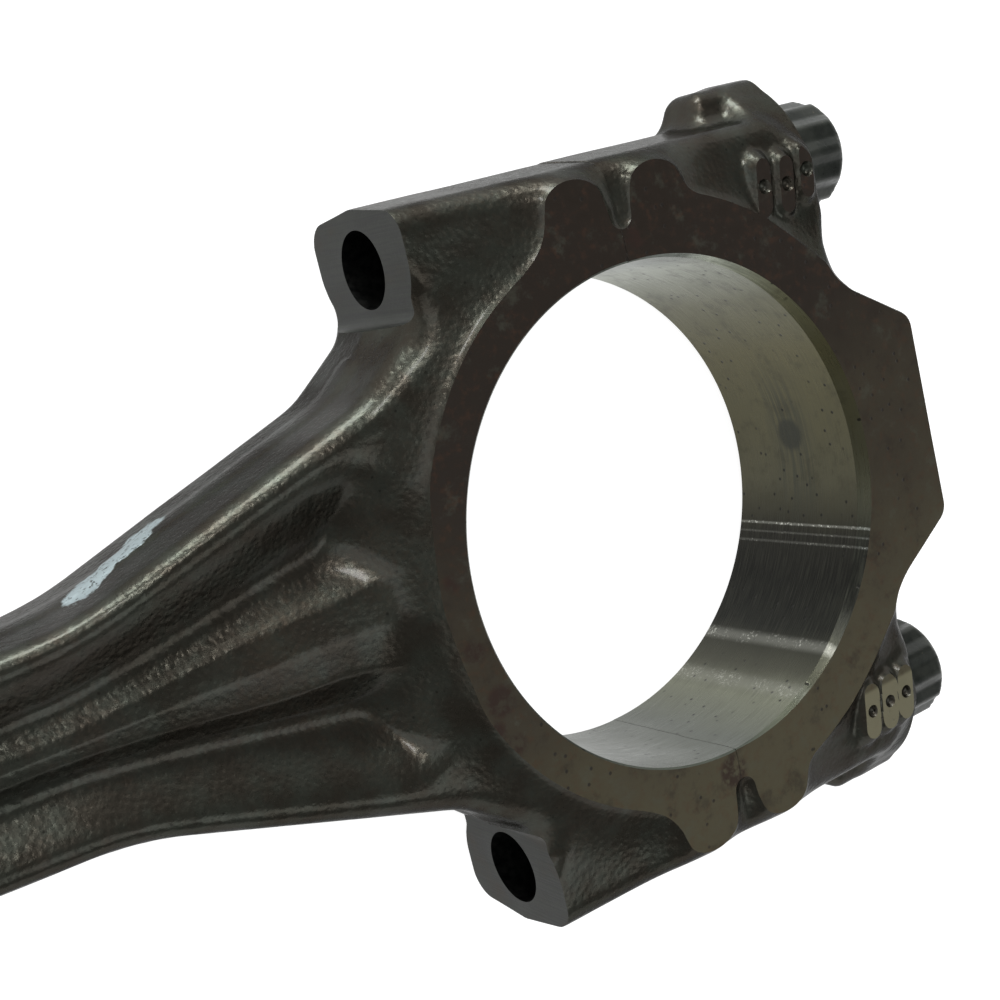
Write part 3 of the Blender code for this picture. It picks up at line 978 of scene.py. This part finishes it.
def grindFaces(piece):
    slab = [(farEnd, -outside), (outside, -outside), (outside, outside), (farEnd, outside)]
    machine(piece, prism("slab", slab, -halfWidth, halfWidth, thrust), "INTERSECT")


axes = [span(pinX - 40, 6, rod["grid"]), span(-71, 71, rod["grid"]), span(-24, 24, rod["grid"])]
rodPiece = forge("rod_forging", rodField(axes), axes, rodSkin, rod["seed"])
print("rod skin made")


def millRodEnd(side):
    # faces off a boss, with the cutter's corner radius left beside the shank
    r = rod
    fillet = r["endFillet"]
    profile = arc(r["bossEnd"] - fillet, r["neck"] + fillet, fillet, -90, 0, 24)
    profile += [(r["bossEnd"], outside), (-outside, outside), (-outside, r["neck"])]
    profile = [(x, side * y) for x, y in (profile if side > 0 else profile[::-1])]
    machine(rodPiece, prism("end_mill", profile, -through, through, milledEnd))


def tapRod(side):
    r = rod
    centre = (0, side * boltY, 0)
    machine(rodPiece, threadedHole(centre))
    mouth = [(r["threadStart"], r["mouth"]), (r["mouthEnd"], r["mouth"])]
    machine(rodPiece, turned("tap_mouth", mouth, spokes["threadMouth"], thread, "X", centre))


grindFaces(rodPiece)
for side in (1, -1):
    millRodEnd(side)
machine(rodPiece, fractureBlock(1, broken))
machine(rodPiece, boreCutter())
for face in (1, -1):
    machine(rodPiece, chamferCutter(face, crankRadius + rod["edgeBreak"]))
pinBore = [(-through, bushOuter), (through, bushOuter)]
machine(rodPiece, turned("pin_bore", pinBore, spokes["pinBore"], bored, "Z", (pinX, 0, 0)))
for side in (1, -1):
    tapRod(side)
gallery = [(pinX + 20, rod["oilGallery"]), (-30, rod["oilGallery"])]      # from bush bore to crank bore
machine(rodPiece, turned("gallery", gallery, spokes["oilHole"], thread, "X"))
dress(rodPiece, "rod", "rod_forging", "rod_body")


cap = {
    "seed": 12,
    "grid": 0.6,
    "thick": 17.4,           # from the middle plane
    "sideDrop": 1.0,
    "sideDropY": (58, 64),
    "endRelief": 0.6,        # keeps the uneven end inside the nominal size
    "padBlend": 4.0,
    "draft": 0.03,
    "bossDraft": 0.12,
    "bossDraftY": (36, 50),
    "edge": 4.4,             # forged corner radius
    "padEdge": 1.2,
    "padX": (49, 54),
    "padY": (38, 31),
    "seat": 52.5,
    "seatStock": 3.0,        # forged past the seat and milled off
    "seatInner": 39.5,
    "seatFillet": 3.0,
    "pillarHalf": 15.7,      # half thickness of the pillar, which narrows outwards to a ridge
    "power": 1.65,           # of its section: 1 is a sharp ridge, 2 is round
    "pillarDrop": 0.7,       # below the widest point of the cap
    "pillarStart": 41.5,
    "pillarEdge": 3.2,
    "pillarBlend": 3.2,
    "ridgeDrop": 0.8,        # below the widest point of the cap
    "ridgeStart": 34.5,
    "ridgeSlope": 0.35,      # of its end, about this distance from the middle
    "ridgeSlopeY": 70.0,
    "ridgeHalf": 7.0,
    "ridgeLean": 0.3,        # of its sides, about this distance from the middle
    "ridgeLeanY": 68.0,
    "ridgeFoot": 50.0,
    "ridgeEdge": 2.6,
    "ridgeBlend": 1.6,
    "boltHole": 7.5,
    "chamferShift": 1.8,
    "chamferRadius": 47.75,
}

# raised bars with a dimple each
markBars = {
    "places": [(36.2, 54.2), (42.2, 53.6), (48.0, 55.4), (37.0, -54.2), (42.2, -54.0), (47.2, -53.8)],
    "upperTop": 19.9,        # on the +Y side
    "lowerTop": 20.2,
    "lean": 0.6,
    "halfLength": 3.6,
    "halfWidth": 1.9,
    "flank": 1.1,
    "crown": 0.5,
    "pit": 0.75,
    "pitEdge": 0.6,
    "pitDepth": 1.8,
    "reach": 2.2,            # no bar beyond this distance from its edge
    "blend": 0.7,
}


def markHeight(x, y, place):
    # height of the skin over one bar, and far below it everywhere else
    m = markBars
    start = (place[0] - m["lean"], place[1] - m["halfLength"])
    end = (place[0] + m["lean"], place[1] + m["halfLength"])
    bar = capsule(x, y, start, end, m["halfWidth"])
    pit = np.maximum(capsule(x, y, place, place, m["pit"]), 0)
    top = m["upperTop"] if place[1] > 0 else m["lowerTop"]
    top = top - m["flank"] * np.maximum(bar + m["crown"], 0)
    top = top - m["pitDepth"] * np.exp(-(pit / m["pitEdge"]) ** 2)
    return np.where(bar < m["reach"], top, -outside)


def capField(axes):
    c = cap
    x, y = np.meshgrid(axes[0], axes[1], indexing="ij")
    z = np.abs(axes[2])[None, None, :]
    side = np.abs(y)

    end = capEnd - c["endRelief"]
    outline = mirrored(rounded([(-14, bossSide, 0), (45.5, bossSide, 8), (54.2, 57, 7), (54.2, 46, 4.5),
                                (52.6, 40, 1), (52.4, 31.5, 6), (end, 21.5, 4), (end, 0, 0)])[::-1])
    wall = outlineDistance(outline, x, y)

    plate = c["thick"] - c["sideDrop"] * ramp(side, *c["sideDropY"])
    height = smoothMax(plate, thrustHeight(thrustDistance(x, y)), c["padBlend"])
    for place in markBars["places"]:
        height = smoothMax(height, markHeight(x, y, place), markBars["blend"])

    onPad = ramp(x, *c["padX"]) * ramp(side, *c["padY"])
    edge = c["edge"] + (c["padEdge"] - c["edge"]) * onPad
    draft = c["draft"] + (c["bossDraft"] - c["draft"]) * ramp(side, *c["bossDraftY"])
    shell = wall[:, :, None] + draft[:, :, None] * (z - c["thick"])
    body = roundMax(z - height[:, :, None], shell, edge[:, :, None])

    # pillar under the bolt head, and the ridge that runs back from it
    along, side = x[:, :, None], side[:, :, None]
    stock = along - c["seat"] - c["seatStock"]
    out = side - boltY
    peak = ridgeTop - c["pillarDrop"] - boltY
    out = np.where(out > 0, out / peak, -out / c["pillarHalf"])
    reach = ((z / c["pillarHalf"]) ** c["power"] + out ** c["power"]) ** (1 / c["power"]) - 1
    pillar = roundMax(reach * c["pillarHalf"], c["pillarStart"] - along, c["pillarEdge"])
    pillar = np.maximum(pillar, stock)
    flank = z - c["ridgeHalf"] + c["ridgeLean"] * (side - c["ridgeLeanY"])
    ridge = roundMax(side - ridgeTop + c["ridgeDrop"], flank, c["ridgeEdge"])
    start = c["ridgeStart"] - along + c["ridgeSlope"] * (side - c["ridgeSlopeY"])
    ridge = roundMax(ridge, start, c["ridgeEdge"])
    ridge = np.maximum(ridge, np.maximum(stock, c["ridgeFoot"] - side))
    return smoothMin(body, smoothMin(pillar, ridge, c["ridgeBlend"]), c["pillarBlend"])


axes = [span(-6, capEnd + 1, cap["grid"]), span(-77, 77, cap["grid"]), span(-24, 24, cap["grid"])]
capPiece = forge("cap_forging", capField(axes), axes, capSkin, cap["seed"])
print("cap skin made")


def millSeat(side):
    # the flat that the bolt's flange sits on
    c = cap
    inner = c["seatInner"]
    profile = rounded([(outside, inner, 0), (c["seat"], inner, c["seatFillet"]), (c["seat"], outside, 0)])
    profile += [(outside, outside)]
    profile = [(x, side * y) for x, y in (profile[::-1] if side > 0 else profile)]
    machine(capPiece, prism("seat_mill", profile, -through, through, milledEnd))


def drillCap(side):
    hole = [(-through, cap["boltHole"]), (outside, cap["boltHole"])]
    machine(capPiece, turned("bolt_hole", hole, spokes["boltHole"], milledEnd, "X", (0, side * boltY, 0)))


grindFaces(capPiece)
for side in (1, -1):
    millSeat(side)
machine(capPiece, fractureBlock(-1, broken))
machine(capPiece, boreCutter())
for face in (1, -1):
    machine(capPiece, chamferCutter(face, cap["chamferRadius"], cap["chamferShift"]))
for side in (1, -1):
    drillCap(side)
dress(capPiece, "cap", "cap_forging", "bearing_cap")


# Pairs are (position along the bolt, radius or change of radius).
bolt = {
    "spokes": 144,
    "threadCrest": 6.5,
    "threadRoot": 5.7,
    "threadEnd": -44.0,      # from the seat
    "tip": 0.6,              # the end's radius is this much less than the thread's root
    "tipLength": 0.3,
    "tipStart": 0.5,
    "stem": [(-42.5, 5.8), (-14.0, 5.8), (-12.0, 7.0), (0.25, 7.0)],              # from the seat
    "flangeThick": 2.4,
    "flangeFoot": [(0.3, -0.7), (0.75, -0.15), (1.2, 0.0)],                      # from the seat
    "flangeLip": [(-0.5, 0.0), (-0.1, -0.25), (0.1, -0.6)],                      # from the flange's top
    "headRadius": 11.4,
    "pointFlat": 0.25,
    "headFoot": [(0.35, 0.25), (0.8, 0.0), (1.2, 0.0)],                          # from the flange's top
    "headFrom": 2.5,         # the twelve points are plain from here above the flange
    "headTo": -2.4,          # to here below the top
    "crown": [(-1.9, 11.15), (-1.2, 10.7), (-0.6, 10.2), (-0.15, 9.6), (0.0, 9.2)],     # from the top
    "dish": [(0.0, 7.2), (-0.35, 6.7), (-0.6, 5.6), (-0.7, 3.0)],                # from the top
}


def headRadii(turn, radius):
    # two six-sided prisms turned by half a side give the twelve points
    flat = radius * math.cos(math.pi / 6)
    third = math.pi / 3
    one = flat / np.cos(turn % third - third / 2)
    two = flat / np.cos((turn + third / 2) % third - third / 2)
    return np.minimum(np.maximum(one, two), radius - bolt["pointFlat"])


def makeBolt(name, body, node, side):
    b = bolt
    seat = cap["seat"]
    turns = np.arange(b["spokes"]) / b["spokes"]
    whole = np.ones(b["spokes"])
    root = b["threadRoot"]
    rings = [(boltEnd, whole * (root - b["tip"]))]
    step = rod["threadPitch"] / ringsPerTurn
    for along in np.arange(boltEnd + b["tipLength"], seat + b["threadEnd"], step):
        radii = root + (b["threadCrest"] - root) * threadShare(along, turns)
        rings.append((along, np.minimum(radii, root - b["tipStart"] + (along - boltEnd))))
    lip = seat + b["flangeThick"]
    rings += [(seat + along, whole * radius) for along, radius in b["stem"]]
    rings += [(seat + along, whole * (flangeRadius + change)) for along, change in b["flangeFoot"]]
    rings += [(lip + along, whole * (flangeRadius + change)) for along, change in b["flangeLip"]]
    shape = headRadii(turns * 2 * math.pi, b["headRadius"])
    rings += [(lip + along, shape + change) for along, change in b["headFoot"]]
    rings += [(along, shape) for along in np.linspace(lip + b["headFrom"], headEnd + b["headTo"], 5)]
    rings += [(headEnd + along, np.minimum(shape, limit)) for along, limit in b["crown"]]
    rings += [(headEnd + along, whole * radius) for along, radius in b["dish"]]
    piece = tube(name, rings, boltFinish, "X", (0, side * boltY, 0))
    dress(piece, body, "cap_bolts", node)


makeBolt("bolt_left", "left_bolt", "cap_bolt_left", 1)
makeBolt("bolt_right", "right_bolt", "cap_bolt_right", -1)
print("bolts made")


bush = {
    "inner": 26.0,
    "chamfer": 1.2,
    "edgeBreak": 0.6,
    "oilHole": 3.0,
    "clear": 0.05,           # from the rod's pin bore
}


def makeBush():
    b = bush
    outer = bushOuter - b["clear"]
    inner, half, chamfer, small = b["inner"], bushHalf, b["chamfer"], b["edgeBreak"]
    profile = [(-half, inner + chamfer), (-half, outer - small), (-half + small, outer),
               (half - small, outer), (half, outer - small), (half, inner + chamfer),
               (half - chamfer, inner), (0.0, inner), (-half + chamfer, inner)]
    piece = turned("pin_bush_bronze", profile, spokes["pinBore"], bronze, "Z", (pinX, 0, 0), closed=True)
    hole = [(pinX + 15, b["oilHole"]), (pinX + 40, b["oilHole"])]       # the wall that faces the shank
    machine(piece, turned("oil_hole", hole, spokes["oilHole"], bronze, "X"))
    dress(piece, "rod", "pin_bush", "pin_bush")


makeBush()
print("all pieces made")


# Studio

# Lengths here are in metres. Lights are placed from the middle of the crank bore along X and Y, and from
# the floor along Z, and all point at the bore.
studio = {
    "floorRadius": 2.4,
    "coveRadius": 0.5,
    "wallTop": 1.3,
    "floorSpokes": 96,
    "floorDrop": 0.0002,
    "floorPale": (0.34, 0.34, 0.34, 1),
    "floorDark": (0.30, 0.30, 0.30, 1),
    "floorRough": 0.7,
    "floorGlow": 0.93,
    "skyColour": (0.95, 1.0, 0.98, 1),
    "skyGlow": 0.27,
}

# place, width, height, power in watts, colour
lights = {
    "key": ((0.02, 1.1, 0.22), 0.55, 0.3, 10.0, (0.94, 1.0, 0.99)),
    "top": ((-0.9, 0.5, 1.5), 1.0, 1.0, 5.0, (0.90, 0.96, 1.0)),
    "over": ((0.45, -0.5, 1.5), 0.8, 0.8, 4.0, (0.94, 0.98, 1.0)),
    "front": ((-0.17, 0.77, 0.79), 0.26, 0.12, 3.6, (1.0, 1.0, 1.0)),
}


def paleFloor():
    f = Finish("pale_floor")
    soft = f.noise(0.01, 2, 0.5)
    colour = f.mix(soft, studio["floorDark"], studio["floorPale"])
    shader = f.node("BsdfPrincipled", {}, {"Base Color": colour, "Roughness": studio["floorRough"],
                                          "Emission Color": (1, 1, 1, 1),
                                          "Emission Strength": studio["floorGlow"]})
    f.node("OutputMaterial", {}, {"Surface": shader})
    return f.material


def makeFloor():
    # a floor that curves up into a low surrounding wall
    flat, cove = studio["floorRadius"], studio["coveRadius"]
    profile = [(flat, 0.0)]
    profile += [(flat + cove * math.sin(t), cove - cove * math.cos(t)) for t in np.linspace(0.1, 1.5, 12)]
    profile += [(flat + cove, studio["wallTop"])]
    count = studio["floorSpokes"]
    points, faces = [(0.0, 0.0, 0.0)], []
    turns = np.arange(count) * 2 * math.pi / count
    for reach, up in profile:
        points += [(reach * math.cos(t), reach * math.sin(t), up) for t in turns]
    for k in range(count):
        faces.append([0, 1 + k, 1 + (k + 1) % count])
    for row in range(len(profile) - 1):
        here, there = 1 + row * count, 1 + (row + 1) * count
        for k in range(count):
            n = (k + 1) % count
            faces.append([here + k, there + k, there + n, here + n])
    mesh = bpy.data.meshes.new("floor")
    mesh.from_pydata(points, [], faces)
    mesh.materials.append(paleFloor())
    mesh.shade_smooth()
    floor = bpy.data.objects.new("floor", mesh)
    floor.location = (boreCentre.x, 0, cadLow.z - studio["floorDrop"])
    bpy.context.scene.collection.objects.link(floor)


def softLight(name, offset, width, height, power, colour):
    lamp = bpy.data.lights.new(name, "AREA")
    lamp.shape = "RECTANGLE"
    lamp.size, lamp.size_y = width, height
    lamp.energy = power
    lamp.color = colour
    holder = bpy.data.objects.new(name, lamp)
    place = Vector(offset) + Vector((boreCentre.x, 0, 0))
    holder.location = place
    holder.rotation_mode = "QUATERNION"
    holder.rotation_quaternion = (boreCentre - place).to_track_quat("-Z", "Y")
    bpy.context.scene.collection.objects.link(holder)


makeFloor()
for name, settings in lights.items():
    softLight(name, *settings)

world = bpy.data.worlds.new("studio_air")
world.use_nodes = True
sky = world.node_tree.nodes["Background"]
sky.inputs["Color"].default_value = studio["skyColour"]
sky.inputs["Strength"].default_value = studio["skyGlow"]
bpy.context.scene.world = world
bpy.context.scene.view_settings.view_transform = "Standard"
print("studio lit")


# Camera

lens = {
    "focal": 57.82,
    "sensor": 36.0,
    "clipStart": 0.01,
    "place": (-181.58, 67.06, 249.91),
    "right": (0.80218, -0.23091, 0.55062),
    "up": (0.29717, 0.95426, -0.03275),
    "back": (-0.51788, 0.18990, 0.83411),
}

camera = bpy.data.objects.new("camera", bpy.data.cameras.new("camera"))
camera.data.lens = lens["focal"]
camera.data.sensor_width = lens["sensor"]
camera.data.clip_start = lens["clipStart"]
facing = Matrix((lens["right"], lens["up"], lens["back"])).transposed()
camera.matrix_world = Matrix.Translation(boreCentre + Vector(lens["place"]) * mm) @ facing.to_4x4()
bpy.context.scene.collection.objects.link(camera)
bpy.context.scene.camera = camera
